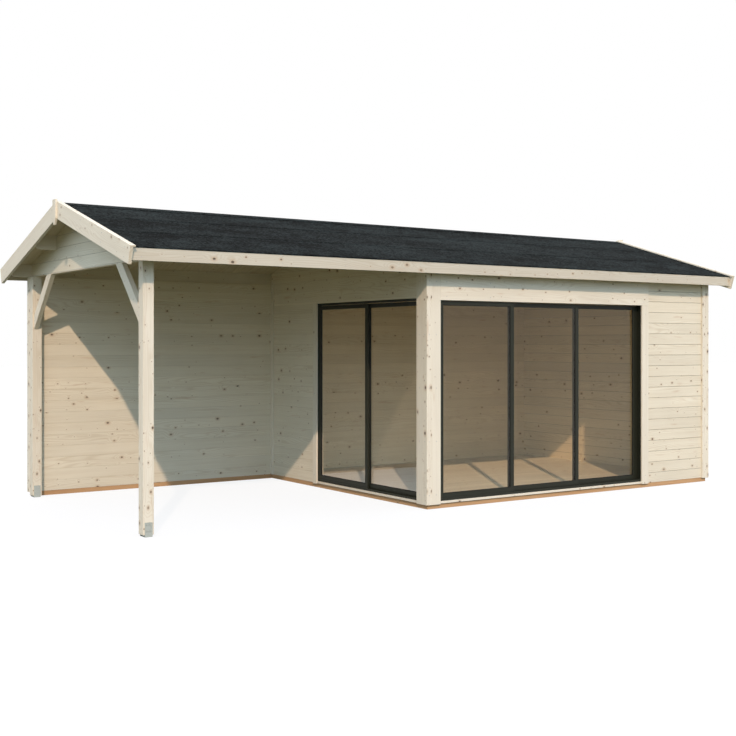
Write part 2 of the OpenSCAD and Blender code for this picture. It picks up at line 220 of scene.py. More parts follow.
def makeGrainGroup():
    inputs = (("Grain", "Vector"), ("Facing", "Vector"), ("Board", "Float"), ("First seam", "Float"),
              ("Knots", "Float"), ("Seed", "Float"), ("Tone", "Color"), ("Line tone", "Color"),
              ("Board spread", "Float"), ("Line strength", "Float"), ("Painted joint shade", "Float"),
              ("Crowding", "Float"))
    outputs = (("Color", "Color"), ("Height", "Float"), ("Roughness", "Float"))
    tree, given = startTree("planedSoftwood", "ShaderNodeTree", inputs, outputs)
    along, depth, across = addNode(tree, "ShaderNodeSeparateXYZ", {0: given["Grain"]}).outputs
    normal = addNode(tree, "ShaderNodeSeparateXYZ", {0: given["Facing"]}).outputs
    nx, ny, nz = (calc(tree, "ABSOLUTE", n) for n in normal)

    # every board has its own piece of timber
    count = calc(tree, "DIVIDE", minus(tree, across, given["First seam"]), given["Board"])
    board = calc(tree, "FLOOR", count)
    fromSeam = times(tree, calc(tree, "PINGPONG", count, 0.5), given["Board"])
    key = plus(tree, times(tree, board, 1.37), given["Seed"])
    chance = addNode(tree, "ShaderNodeTexWhiteNoise", {"W": key}, noise_dimensions="1D")
    draw = addNode(tree, "ShaderNodeSeparateColor", {0: chance.outputs["Color"]}).outputs
    edge = calc(tree, "GREATER_THAN", nz, ny)
    side = addNode(tree, "ShaderNodeMix", data_type="FLOAT")
    plug(tree, side.inputs[0], edge)
    plug(tree, side.inputs[2], across)
    plug(tree, side.inputs[3], plus(tree, depth, 3.7))
    shiftAlong, shiftAcross = grain["boardShift"]
    u = plus(tree, along, times(tree, draw[0], shiftAlong))
    v = plus(tree, side.outputs[0], times(tree, draw[1], shiftAcross))

    # knots
    alongRate = times(tree, given["Crowding"], grain["knotAlong"])
    acrossRate = times(tree, given["Crowding"], grain["knotAcross"])
    cell = joinXyz(tree, times(tree, u, alongRate), times(tree, v, acrossRate), 0.0)
    spots = addNode(tree, "ShaderNodeTexVoronoi", {"Vector": cell, "Scale": 1.0, "Randomness": 1.0},
                    voronoi_dimensions="2D", feature="F1")
    away = addNode(tree, "ShaderNodeVectorMath", {0: cell, 1: spots.outputs["Position"]},
                   operation="SUBTRACT")
    gap = addNode(tree, "ShaderNodeSeparateXYZ", {0: away.outputs[0]}).outputs
    du = calc(tree, "DIVIDE", times(tree, gap[0], grain["knotSquash"]), alongRate)
    dv = calc(tree, "DIVIDE", gap[1], acrossRate)
    far = calc(tree, "SQRT", plus(tree, times(tree, du, du), times(tree, dv, dv)))
    raggedScale, raggedReach = grain["knotRagged"]
    ragged = noiseAt(tree, joinXyz(tree, u, v, 0.0), raggedScale, 1.0)
    far = plus(tree, far, times(tree, minus(tree, ragged, 0.5), raggedReach))
    lot = addNode(tree, "ShaderNodeSeparateColor", {0: spots.outputs["Color"]}).outputs
    size = timesPlus(tree, calc(tree, "POWER", lot[0], grain["knotSkew"]),
                     grain["knotLarge"] - grain["knotSmall"], grain["knotSmall"])
    knotty = ramp(tree, draw[2], 0.25, 0.85, *grain["boardKnots"])
    there = calc(tree, "LESS_THAN", lot[1], times(tree, given["Knots"], knotty))
    heart = times(tree, there, ramp(tree, far, size, times(tree, size, 0.5)))
    rimOuter, rimInner = (times(tree, size, reach) for reach in grain["rimReach"])
    rim = times(tree, there, ramp(tree, far, rimOuter, rimInner))
    heart = times(tree, heart, ramp(tree, lot[2], 0.0, 1.0, grain["heartPale"], 1.0))
    swirl = times(tree, there, ramp(tree, far, times(tree, size, grain["swirlReach"]), 0.0))

    def pattern(name, third):
        scales, (detail, rough) = grainPatterns[name][:3], grainPatterns[name][3:]
        spot = (times(tree, part, scale) for part, scale in zip((u, v, third), scales))
        return noiseAt(tree, joinXyz(tree, *spot), 1.0, detail, rough)

    # growth lines, bent slowly along the board and round the knots
    bend = pattern("bend", board)
    width = timesPlus(tree, calc(tree, "POWER", draw[2], 1.5),
                      grain["lineWide"] - grain["lineFine"], grain["lineFine"])
    turn = plus(tree, calc(tree, "DIVIDE", v, width), times(tree, bend, grain["bendTurns"]))
    turn = plus(tree, turn, times(tree, swirl, grain["swirlTurns"]))
    wave = calc(tree, "SINE", times(tree, turn, 2 * math.pi))
    lines = calc(tree, "POWER", timesPlus(tree, wave, 0.5, 0.5), grain["lineSharp"])
    streak = pattern("streak", board)
    fibre = pattern("fibre", depth)
    blot = ramp(tree, pattern("blot", board), *grain["stainRange"], 0.0, grain["stainShare"])

    # sawn ends show the rings
    hearts, firstHeart, ringScale = grain["endRings"]
    offHeart = minus(tree, calc(tree, "FRACT", times(tree, across, hearts)), firstHeart)
    hub = plus(tree, times(tree, depth, depth), calc(tree, "POWER", offHeart, 2.0))
    rings = calc(tree, "SINE", times(tree, calc(tree, "SQRT", hub), ringScale))
    rings = timesPlus(tree, rings, 0.5, 0.5)
    cut = calc(tree, "GREATER_THAN", nx, grain["endFacing"])

    share = plus(tree, times(tree, lines, grain["lineShare"]),
                 times(tree, ramp(tree, streak, 0.35, 0.75), grain["streakShare"]))
    share = times(tree, share, given["Line strength"])
    colour = blendColour(tree, share, given["Tone"], given["Line tone"])
    lift = times(tree, minus(tree, draw[0], 0.5), given["Board spread"])
    cloud = noiseAt(tree, joinXyz(tree, u, v, depth), grain["cloud"], 2.0)
    lift = plus(tree, lift, times(tree, minus(tree, cloud, 0.5), grain["cloudShade"]))
    lift = plus(tree, lift, times(tree, minus(tree, fibre, 0.5), grain["fibreShade"]))
    colour = shadeColour(tree, colour, plus(tree, lift, 1.0))
    ends = blendColour(tree, times(tree, rings, 0.5), given["Tone"], given["Line tone"])
    ends = blendColour(tree, 1.0, ends, grain["endTone"], "MULTIPLY")
    colour = blendColour(tree, blot, colour, grain["stain"])
    colour = blendColour(tree, times(tree, rim, grain["rimShare"]), colour, grain["knotRim"])
    colour = blendColour(tree, heart, colour, grain["knotHeart"])
    colour = blendColour(tree, cut, colour, ends)
    # painted shade: the colour darkens towards every seam between boards, standing in for the shadow in the
    # gap
    paintedJointShadeShare = ramp(tree, fromSeam, grain["paintedJointShadeReach"] * 0.5, grain["paintedJointShadeReach"], 1.0, 0.0)
    paintedJointShadeShare = times(tree, paintedJointShadeShare, given["Painted joint shade"])
    colour = blendColour(tree, paintedJointShadeShare, colour, grain["paintedJointShadeTone"])

    relief, dull = grain["relief"], grain["rough"]
    height = plus(tree, times(tree, fibre, relief["fibre"]), times(tree, lines, relief["lines"]))
    height = minus(tree, height, times(tree, heart, relief["knot"]))
    rough = timesPlus(tree, streak, dull["streak"], dull["base"])
    rough = minus(tree, rough, times(tree, heart, dull["knot"]))
    addNode(tree, "NodeGroupOutput", {"Color": colour, "Height": height, "Roughness": rough})
    return tree


grainGroup = makeGrainGroup()

upZ, runX, runY = Vector((0, 0, 1)), Vector((1, 0, 0)), Vector((0, 1, 0))
riseFront = Vector((0, math.cos(pitchAngle), math.sin(pitchAngle)))
riseRear = Vector((0, -math.cos(pitchAngle), math.sin(pitchAngle)))
liftFront = Vector((0, -math.sin(pitchAngle), math.cos(pitchAngle)))
liftRear = Vector((0, math.sin(pitchAngle), math.cos(pitchAngle)))

finishes = {  # tone, line tone, knots, line strength
    "wall": ((0.790, 0.722, 0.565, 1), (0.590, 0.485, 0.325, 1), 0.34, 0.60),
    "trim": ((0.785, 0.722, 0.582, 1), (0.610, 0.515, 0.372, 1), 0.34, 0.55),
    "corner": ((0.785, 0.722, 0.582, 1), (0.610, 0.515, 0.372, 1), 0.90, 0.65),
    "fascia": ((0.615, 0.562, 0.445, 1), (0.485, 0.405, 0.282, 1), 0.34, 0.60),
    "frame": ((0.765, 0.698, 0.558, 1), (0.590, 0.490, 0.340, 1), 0.40, 0.55),
    "roof": ((0.680, 0.590, 0.420, 1), (0.470, 0.360, 0.205, 1), 0.30, 0.60),
    "floor": ((0.735, 0.735, 0.672, 1), (0.550, 0.508, 0.410, 1), 0.22, 0.60),
    "base": ((0.585, 0.352, 0.176, 1), (0.400, 0.212, 0.090, 1), 0.34, 0.95),
}


# along is the way of the grain, across the way from board to board; with 40 m boards no joint shows
# gap is the strength of the painted shade in the joints between boards
def softwood(name, finish, along, across, board=40.0, firstSeam=-13.0, seed=0.0, spread=0.08, gap=0.0,
             crowd=1.0):
    tone, lineTone, knots, strength = finishes[finish]
    mat, tree, shader = startMaterial(name, **{"Specular IOR Level": grain["sheen"]})
    turn = Matrix((along, across.cross(along), across)).to_euler("XYZ")
    place = addNode(tree, "ShaderNodeTexCoord").outputs["Object"]
    facing = addNode(tree, "ShaderNodeNewGeometry").outputs["True Normal"]
    mapped = addNode(tree, "ShaderNodeMapping", {"Vector": place, "Rotation": turn})
    turned = addNode(tree, "ShaderNodeMapping", {"Vector": facing, "Rotation": turn}, vector_type="VECTOR")
    values = {"Grain": mapped.outputs[0], "Facing": turned.outputs[0], "Board": board,
              "First seam": firstSeam, "Knots": knots, "Seed": seed, "Tone": tone, "Line tone": lineTone,
              "Board spread": spread, "Line strength": strength, "Painted joint shade": gap, "Crowding": crowd}
    wood = addNode(tree, "ShaderNodeGroup", values, node_tree=grainGroup).outputs
    dressShader(tree, shader, wood["Color"], wood["Roughness"], wood["Height"], grain["bump"])
    return mat


# felt, coated aluminium, galvanised steel, gasket and glass

feltLook = {
    "dark": (0.0008, 0.0018, 0.0022, 1), "light": (0.0202, 0.0272, 0.0272, 1),
    "wash": (1.1, 2.6, 2.6), "marks": (8.0, 11.0, 11.0),  # repeats a metre
    "washShare": 0.60, "marksShare": 0.40, "specksPull": 1.1,
    "specks": 42.0, "grit": 900.0,
    "range": (0.41, 0.63), "bump": (0.6, 0.001), "sheen": 0.06,
}


def roofingFelt(name):
    mat, tree, shader = startMaterial(name, **{"Specular IOR Level": feltLook["sheen"]})
    place = addNode(tree, "ShaderNodeTexCoord").outputs["Object"]
    long = addNode(tree, "ShaderNodeMapping", {"Vector": place, "Scale": feltLook["wash"]})
    fine = addNode(tree, "ShaderNodeMapping", {"Vector": place, "Scale": feltLook["marks"]})
    wash = noiseAt(tree, long.outputs[0], 1.0, 5.0, 0.66)
    marks = noiseAt(tree, fine.outputs[0], 1.0, 4.0, 0.75)
    specks = noiseAt(tree, place, feltLook["specks"], 2.0, 0.8)
    grit = noiseAt(tree, place, feltLook["grit"], 1.0)
    share = plus(tree, times(tree, wash, feltLook["washShare"]), times(tree, marks, feltLook["marksShare"]))
    share = plus(tree, share, times(tree, minus(tree, specks, 0.5), feltLook["specksPull"]))
    share = ramp(tree, share, *feltLook["range"])
    colour = blendColour(tree, share, feltLook["dark"], feltLook["light"])
    colour = shadeColour(tree, colour, timesPlus(tree, grit, 0.5, 0.75))
    height = plus(tree, grit, times(tree, specks, 0.8))
    dressShader(tree, shader, colour, timesPlus(tree, grit, 0.15, 0.78), height, feltLook["bump"])
    return mat


coatLook = {
    "anthracite": (0.0170, 0.0190, 0.0115, 1), "rubber": (0.012, 0.012, 0.012, 1),
    "peel": 900.0, "dust": 3.5, "bump": (0.35, 0.0002), "sheen": 0.25,
}


def powderCoat(name, tone):
    mat, tree, shader = startMaterial(name, **{"Specular IOR Level": coatLook["sheen"]})
    place = addNode(tree, "ShaderNodeTexCoord").outputs["Object"]
    peel = noiseAt(tree, place, coatLook["peel"], 1.0)
    dust = noiseAt(tree, place, coatLook["dust"], 4.0, 0.6)
    colour = shadeColour(tree, tone, timesPlus(tree, dust, 0.35, 0.82))
    dressShader(tree, shader, colour, timesPlus(tree, dust, 0.16, 0.42), peel, coatLook["bump"])
    return mat


steelLook = {
    "shoe": (0.47, 0.50, 0.455, 1), "screw": (0.50, 0.49, 0.46, 1),
    "flowers": 140.0, "stains": 22.0, "bump": (0.2, 0.0002), "metal": 0.75,
}


def galvanised(name, tone):
    mat, tree, shader = startMaterial(name, Metallic=steelLook["metal"])
    place = addNode(tree, "ShaderNodeTexCoord").outputs["Object"]
    bloom = addNode(tree, "ShaderNodeTexVoronoi", {"Vector": place, "Scale": steelLook["flowers"]})
    flower = addNode(tree, "ShaderNodeSeparateColor", {0: bloom.outputs["Color"]}).outputs[0]
    stain = noiseAt(tree, place, steelLook["stains"], 3.0)
    shade = plus(tree, timesPlus(tree, flower, 0.16, 0.78), times(tree, stain, 0.22))
    colour = shadeColour(tree, tone, shade)
    dressShader(tree, shader, colour, timesPlus(tree, flower, 0.18, 0.40), flower, steelLook["bump"])
    return mat


glassLook = {
    "front": (0.966, 0.922, 0.842, 1), "side": (1.0, 0.985, 0.965, 1),
    "mirror": 0.030, "mirrorPower": 4.2, "film": 1.3,
}


def windowGlass(name, tone):
    mat, tree, shader = startMaterial(name)
    tree.nodes.remove(shader)
    place = addNode(tree, "ShaderNodeTexCoord").outputs["Object"]
    film = noiseAt(tree, place, glassLook["film"], 3.0)
    facing = addNode(tree, "ShaderNodeLayerWeight", {"Blend": 0.5}).outputs["Facing"]
    glancing = calc(tree, "POWER", facing, glassLook["mirrorPower"])
    mirror = calc(tree, "ADD", glancing, glassLook["mirror"], clamp=True)
    tint = shadeColour(tree, tone, timesPlus(tree, film, 0.03, 0.985))
    clear = addNode(tree, "ShaderNodeBsdfTransparent", {"Color": tint}).outputs[0]
    shine = addNode(tree, "ShaderNodeBsdfGlossy", {"Roughness": 0.0}).outputs[0]
    pane = mixShaders(tree, mirror, clear, shine)
    tree.links.new(pane, tree.nodes["Material Output"].inputs["Surface"])
    return mat


felt = roofingFelt("mineral felt")
anthracite = powderCoat("anthracite powder coat", coatLook["anthracite"])
gasket = powderCoat("black gasket", coatLook["rubber"])
zinc = galvanised("galvanised steel", steelLook["shoe"])
screwSteel = galvanised("screw steel", steelLook["screw"])
frontGlass = windowGlass("bronze tinted glass", glassLook["front"])
sideGlass = windowGlass("clear glass", glassLook["side"])
print("materials ready")


# meshes from the frame's own nodes

def newObject(name, mesh):
    ob = bpy.data.objects.new(name, mesh)
    bpy.context.scene.collection.objects.link(ob)
    return ob


def cleanCopy(node, name):
    mesh = nodes[node].data.copy()
    mesh.materials.clear()
    shape = bmesh.new()
    shape.from_mesh(mesh)
    bmesh.ops.remove_doubles(shape, verts=shape.verts, dist=meshCare["weld"])
    bmesh.ops.dissolve_limit(shape, angle_limit=meshCare["flat"], verts=shape.verts, edges=shape.edges)
    shape.to_mesh(mesh)
    shape.free()
    return newObject(name, mesh)


def bakeModifiers(ob, materials):
    bpy.context.view_layer.update()
    graph = bpy.context.evaluated_depsgraph_get()
    mesh = bpy.data.meshes.new_from_object(ob.evaluated_get(graph))
    ob.modifiers.clear()
    ob.data = mesh
    mesh.materials.clear()
    for mat in materials:
        mesh.materials.append(mat)
    for face in mesh.polygons:
        face.use_smooth = False
    return ob


def stand(ob, node, body="house"):
    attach(ob, body)
    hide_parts(node)
    return ob


def easedCopy(node, name, ease, materials, chooser=None, steps=2):
    ob = cleanCopy(node, name)
    bevel = ob.modifiers.new("ease", "BEVEL")
    bevel.width = ease
    bevel.segments = steps
    bevel.limit_method = "ANGLE"
    bevel.angle_limit = math.radians(25)
    bakeModifiers(ob, materials)
    if chooser:
        for face in ob.data.polygons:
            face.material_index = chooser(face.center)
    return ob


# boards with V joints: a row of square bars, on edge, is cut out of both faces of a wall

def moved(tree, geometry, **move):
    return addNode(tree, "GeometryNodeTransform", {"Geometry": geometry, **move}).outputs[0]


def cutOut(tree, piece, cutter):
    node = addNode(tree, "GeometryNodeMeshBoolean", operation="DIFFERENCE", solver="EXACT")
    tree.links.new(piece, node.inputs["Mesh 1"])
    tree.links.new(cutter, node.inputs["Mesh 2"])
    return node.outputs["Mesh"]


def endTree(tree, geometry, material):
    real = addNode(tree, "GeometryNodeRealizeInstances", {"Geometry": geometry}).outputs[0]
    dress = addNode(tree, "GeometryNodeSetMaterial", {"Geometry": real, "Material": material})
    addNode(tree, "NodeGroupOutput", {"Geometry": dress.outputs[0]})
    return tree


def makeJointTree():
    inputs = (("Geometry", "Geometry"), ("Joints", "Int"), ("First joint", "Vector"), ("Step", "Vector"),
              ("Groove", "Float"), ("Bar length", "Float"), ("Bar turn", "Vector"),
              ("Second face", "Vector"), ("Timber", "Material"))
    tree, given = startTree("boardJoints", "GeometryNodeTree", inputs, (("Geometry", "Geometry"),))
    size = joinXyz(tree, given["Bar length"], given["Groove"], given["Groove"])
    bar = addNode(tree, "GeometryNodeMeshCube", {"Size": size}).outputs["Mesh"]
    bar = moved(tree, bar, Rotation=(math.pi / 4, 0, 0))
    bar = moved(tree, bar, Rotation=given["Bar turn"])
    places = {"Count": given["Joints"], "Start Location": given["First joint"], "Offset": given["Step"]}
    row = addNode(tree, "GeometryNodeMeshLine", places, mode="OFFSET").outputs[0]
    bars = addNode(tree, "GeometryNodeInstanceOnPoints", {"Points": row, "Instance": bar}).outputs[0]
    both = addNode(tree, "GeometryNodeJoinGeometry")
    for face in (bars, moved(tree, bars, Translation=given["Second face"])):
        tree.links.new(face, both.inputs[0])
    solid = addNode(tree, "GeometryNodeRealizeInstances", {"Geometry": both.outputs[0]}).outputs[0]
    return endTree(tree, cutOut(tree, given["Geometry"], solid), given["Timber"])


jointTree = makeJointTree()


def setInputs(modifier, values):
    for item in modifier.node_group.interface.items_tree:
        if item.item_type == "SOCKET" and item.in_out == "INPUT" and item.name in values:
            modifier[item.identifier] = values[item.name]


def carveJoints(ob, wood, values):
    cut = ob.modifiers.new("joints", "NODES")
    cut.node_group = jointTree
    setInputs(cut, {**values, "Timber": wood})
    return bakeModifiers(ob, [wood])


boards = {
    "wallPitch": 0.113,  # cover width of a wall board
    "wallSeam": 1.843,  # height of one joint that every wall shares
    "wallMargin": 0.012,  # no joint lies nearer than this to a wall's foot or top
    "floorPitch": 0.120,
    "roofPitch": 0.096,
    "endMargin": 0.020,  # of floor and roof
    "barExtra": 0.100,  # the cutting bars are this much longer than the piece
    "floorGroove": 0.0028,
    "roofGroove": 0.0045,
    "roofThick": 0.019,
    "roofBar": 2.400,  # length of the bars that cut the roof's joints
}

boardedWalls = {  # node: wall direction, groove size, seed, strength of the painted shade inside the joints
    "rear_wall_terrace": ("x", 0.0032, 11.0, 0.12),
    "rear_wall_room": ("x", 0.0032, 11.0, 0.12),
    "front_wall": ("x", 0.0052, 23.0, 0.62),
    "front_wall_header": ("x", 0.0032, 31.0, 0.40),
    "right_wall": ("y", 0.0046, 47.0, 0.60),
    "partition_wall": ("y", 0.0032, 53.0, 0.12),
    "partition_upper": ("y", 0.0032, 53.0, 0.12),
    "left_gable": ("y", 0.0042, 67.0, 0.45),
}


def boardedWall(node, run, groove, seed, gap):
    low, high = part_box(node)
    pitch, seam, margin = boards["wallPitch"], boards["wallSeam"], boards["wallMargin"]
    first = seam - pitch * math.floor((seam - low.z - margin) / pitch)
    count = int((high.z - margin - first) / pitch) + 1
    along, reach = (runX, high.x - low.x) if run == "x" else (runY, high.y - low.y)
    # gap sets how strong the painted shade in this wall's joints is
    wood = softwood("wall boards " + node, "wall", along, upZ, pitch, first, seed, gap=gap)
    clear = meshCare["clear"]
    if run == "x":
        start = ((low.x + high.x) / 2, low.y - clear, first)
        turn, second = (0, 0, 0), (0, high.y - low.y + 2 * clear, 0)
    else:
        start = (low.x - clear, (low.y + high.y) / 2, first)
        turn, second = (0, 0, math.pi / 2), (high.x - low.x + 2 * clear, 0, 0)
    ob = carveJoints(cleanCopy(node, node + "_boards"), wood, {
        "Joints": count, "First joint": start, "Step": (0, 0, pitch), "Groove": groove,
        "Bar length": reach + boards["barExtra"], "Bar turn": turn, "Second face": second})
    return stand(ob, node)


for node, (run, groove, seed, gap) in boardedWalls.items():
    boardedWall(node, run, groove, seed, gap)
print("walls boarded")


# floor and roof boards

def floorBoards():
    low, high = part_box("floor")
    pitch, clear = boards["floorPitch"], meshCare["clear"]
    first = low.y + pitch
    wood = softwood("floor boards", "floor", runX, runY, pitch, first, 5.0, 0.10)
    ob = carveJoints(cleanCopy("floor", "floor_boards"), wood, {
        "Joints": int((high.y - low.y - boards["endMargin"]) / pitch),
        "First joint": ((low.x + high.x) / 2, first, high.z + clear), "Step": (0, pitch, 0),
        "Groove": boards["floorGroove"], "Bar length": high.x - low.x + boards["barExtra"],
        "Bar turn": (0, 0, 0), "Second face": (0, 0, low.z - high.z - 2 * clear)})
    stand(ob, "floor")


def roofBoards(side):
    node = "roof_boards_" + side
    low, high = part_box(node)
    pitch, clear = boards["roofPitch"], meshCare["clear"]
    rise = riseFront if side == "front" else riseRear
    sign = -1 if side == "front" else 1
    wood = softwood("roof boards " + side, "roof", rise, runX, pitch, low.x + pitch, 71.0 + sign)
    half = eaveReach / 2
    midUnder = eaveLevel + half * math.tan(pitchAngle)
    aim = Matrix((rise, runX.cross(rise) * -1, runX)).transposed().to_euler("XYZ")
    ob = carveJoints(cleanCopy(node, node + "_joints"), wood, {
        "Joints": int((high.x - low.x - boards["endMargin"]) / pitch),
        "First joint": (low.x + pitch, sign * eaveReach - sign * half, midUnder - clear),
        "Step": (pitch, 0, 0), "Groove": boards["roofGroove"], "Bar length": boards["roofBar"],
        "Bar turn": (aim.x, aim.y, aim.z),
        "Second face": (0, 0, boards["roofThick"] / math.cos(pitchAngle) + 2 * clear)})
    stand(ob, node)


floorBoards()
roofBoards("front")
roofBoards("rear")
print("floor and roof boarded")


# posts, beams, purlins and trims, with eased edges

def diagonal(y, z):
    return Vector((0, y, z)).normalized()


timberZ = softwood("post timber", "frame", upZ, runX, seed=3.0, crowd=1.25)
timberX = softwood("purlin timber", "frame", runX, upZ, seed=4.0)
braceFront = softwood("front brace timber", "frame", diagonal(1, 1), diagonal(-1, 1), seed=5.0)
braceRear = softwood("rear brace timber", "frame", diagonal(-1, 1), diagonal(1, 1), seed=6.0)
trimZ = softwood("upright trim", "trim", upZ, runX, seed=7.0)
cornerZ = softwood("corner timber", "corner", upZ, runX, seed=17.0, crowd=1.5)
trimX = softwood("level trim", "trim", runX, upZ, seed=8.0)
trimY = softwood("side trim", "trim", runY, upZ, seed=9.0)
bargeFront = softwood("front barge timber", "trim", riseFront, liftFront, seed=10.0)
bargeRear = softwood("rear barge timber", "trim", riseRear, liftRear, seed=12.0)
fasciaX = softwood("fascia timber", "fascia", runX, upZ, seed=8.5)
baseX = softwood("base timber", "base", runX, upZ, seed=13.0)
baseY = softwood("base cross timber", "base", runY, upZ, seed=14.0)


def isRear(centre):
    return 1 if centre.y > 0 else 0


sillSplit = -0.46  # the side door's sill lies beyond this X, the front door's short of it


def isSide(centre):
    return 1 if centre.x < sillSplit else 0


easedTimber = {  # node: ease, materials, chooser, slot
    "terrace_posts": (0.0040, [timberZ], None, "frame_timber"),
    "corner_post": (0.0020, [timberZ], None, "frame_timber"),
    "braces": (0.0030, [braceFront, braceRear], isRear, "frame_timber"),
    "ridge_purlin": (0.0025, [timberX], None, "frame_timber"),
    "mid_purlins": (0.0025, [timberX], None, "frame_timber"),
    "eave_purlins": (0.0025, [timberX], None, "frame_timber"),
    "fascias": (0.0018, [fasciaX], None, "trim_timber"),
    "bargeboards_front": (0.0018, [bargeFront], None, "trim_timber"),
    "bargeboards_rear": (0.0018, [bargeRear], None, "trim_timber"),
    "barge_caps_front": (0.0018, [bargeFront], None, "trim_timber"),
    "barge_caps_rear": (0.0018, [bargeRear], None, "trim_timber"),
    "finials": (0.0018, [trimZ], None, "trim_timber"),
    "corner_boards": (0.0018, [cornerZ], None, "trim_timber"),
    "door_trims": (0.0018, [trimZ], None, "trim_timber"),
    "door_header_trim": (0.0018, [trimX], None, "trim_timber"),
    "side_trims": (0.0018, [trimZ], None, "trim_timber"),
    "door_sills": (0.0012, [trimX, trimY], isSide, "trim_timber"),
    "door_linings": (0.0012, [trimZ], None, "trim_timber"),
    "base_long_beams": (0.0020, [baseX], None, "base_timber"),
    "base_cross_beams": (0.0020, [baseY], None, "base_timber"),
    "floor_joists": (0.0020, [baseY], None, "base_timber"),
}
for node, (ease, materials, chooser, slot) in easedTimber.items():
    stand(easedCopy(node, node + "_eased", ease, materials, chooser), node)
print("timber eased")


# felt in lapped strips, folded over the fascia, and a strip over the ridge

feltStrips = {
    "courses": 3, "thick": 0.0019,
    "lap": 0.060,  # how far a strip reaches under the next
    "settle": 0.030,  # run in which a lapped strip comes down again
    "bed": 0.004,  # the whole felt, from the boards to its top
    "clear": 0.00002,  # strips lie this far off the boards
    "topGap": 0.001,  # the last strip ends this far short of the ridge
    "foldThick": 0.0030, "foldDrop": 0.0070, "foldRise": 0.0006, "foldGap": 0.0001,  # over the fascia
    "ridgeHalf": 0.11,  # half width of the ridge strip
    "ridgeEnd": 0.018,  # it stops this far from both bargeboards' faces
}


def extrudeAlongX(name, outline, x0, x1, material):
    shape = bmesh.new()
    near = [shape.verts.new((x0, y, z)) for y, z in outline]
    farEnd = [shape.verts.new((x1, y, z)) for y, z in outline]
    count = len(outline)
    for i in range(count):
        j = (i + 1) % count
        shape.faces.new((near[i], near[j], farEnd[j], farEnd[i]))
    shape.faces.new(near[::-1])
    shape.faces.new(farEnd)
    bmesh.ops.recalc_face_normals(shape, faces=shape.faces)
    mesh = bpy.data.meshes.new(name)
    shape.to_mesh(mesh)
    shape.free()
    mesh.materials.append(material)
    return mesh


def feltSide(side):
    node = "felt_" + side
    low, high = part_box(node)
    sign = -1 if side == "front" else 1
    slopeUp = riseFront if side == "front" else riseRear
    out = liftFront if side == "front" else liftRear
    reach = max(abs(low.y), abs(high.y))
    thick, lap = feltStrips["thick"], feltStrips["lap"]
    length = reach / math.cos(pitchAngle)
    ridge = Vector((0, 0, high.z)) - out * feltStrips["bed"]  # under the ridge, on the boards
    foot = ridge - slopeUp * length
    step = length / feltStrips["courses"]
    parts = bmesh.new()
    outlines = []
    for k in range(feltStrips["courses"]):
        s0, s1 = k * step, min((k + 1) * step + lap, length - feltStrips["topGap"])
        lift = thick if k else 0.0  # every strip but the first starts on top of another
        bend = s0 + lap + feltStrips["settle"]
        section = [(s0, lift), (s0, lift + thick)]
        if k:
            section += [(s0 + lap, lift + thick), (bend, thick)]
        section += [(s1, thick), (s1, 0.0)]
        if k:
            section += [(bend, 0.0), (s0 + lap, lift)]
        places = [foot + slopeUp * s + out * (h + feltStrips["clear"]) for s, h in section]
        outlines.append([(p.y, p.z) for p in places])
    edge, inside = sign * (reach - feltStrips["foldGap"]), sign * (reach - feltStrips["foldThick"])
    brow, hem = foot.z + thick, low.z - feltStrips["foldDrop"]
    outlines.append([(edge, hem), (edge, brow), (inside, brow + feltStrips["foldRise"]), (inside, hem)])
    for outline in outlines:
        mesh = extrudeAlongX("strip", outline, low.x, high.x, felt)
        parts.from_mesh(mesh)
        bpy.data.meshes.remove(mesh)
    mesh = bpy.data.meshes.new(node + "_strips")
    parts.to_mesh(mesh)
    parts.free()
    mesh.materials.append(felt)
    stand(newObject(node + "_strips", mesh), node)


def feltRidge():
    low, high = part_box("felt_front")
    half, end = feltStrips["ridgeHalf"], feltStrips["ridgeEnd"]
    drop = half * math.tan(pitchAngle)
    tall = feltStrips["thick"] / math.cos(pitchAngle)
    top = high.z + meshCare["clear"]
    outline = [(-half, top - drop), (0, top), (half, top - drop), (half, top - drop + tall), (0, top + tall),
               (-half, top - drop + tall)]
    mesh = extrudeAlongX("felt_ridge_strip", outline, low.x + end, high.x - end, felt)
    ob = newObject("felt_ridge_strip", mesh)
    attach(ob, "house")


feltSide("front")
feltSide("rear")
feltRidge()
print("felt laid")


# sliding doors and post shoes, with eased edges

metalEase = {"profile": 0.0012, "shoe": 0.0008}


def metalProfile(node, body="house"):
    profile = easedCopy(node, node + "_profile", metalEase["profile"], [anthracite], steps=1)
    stand(profile, node, body)


metalProfile("door_frame")
metalProfile("side_door_frame")

leaves = {  # leaf node: pane node, body
    "door_leaf_left": ("door_glass_left", "left_leaf"),
    "door_leaf_middle": ("door_glass_middle", "middle_leaf"),
    "door_leaf_right": ("door_glass_right", "right_leaf"),
    "side_leaf_front": ("side_glass_front", "side_front_leaf"),
    "side_leaf_rear": ("side_glass_rear", "side_rear_leaf"),
}
for leaf, (pane, body) in leaves.items():
    metalProfile(leaf, body)
    nodes[pane].data.materials.clear()
    nodes[pane].data.materials.append(sideGlass if leaf.startswith("side") else frontGlass)
print("doors dressed")

stand(easedCopy("post_shoes", "post_shoes_steel", metalEase["shoe"], [zinc], steps=1), "post_shoes")


# black rubber round every pane, on both sides

gasketLook = {"width": 0.0045, "stands": 0.0030, "ease": 0.0008}


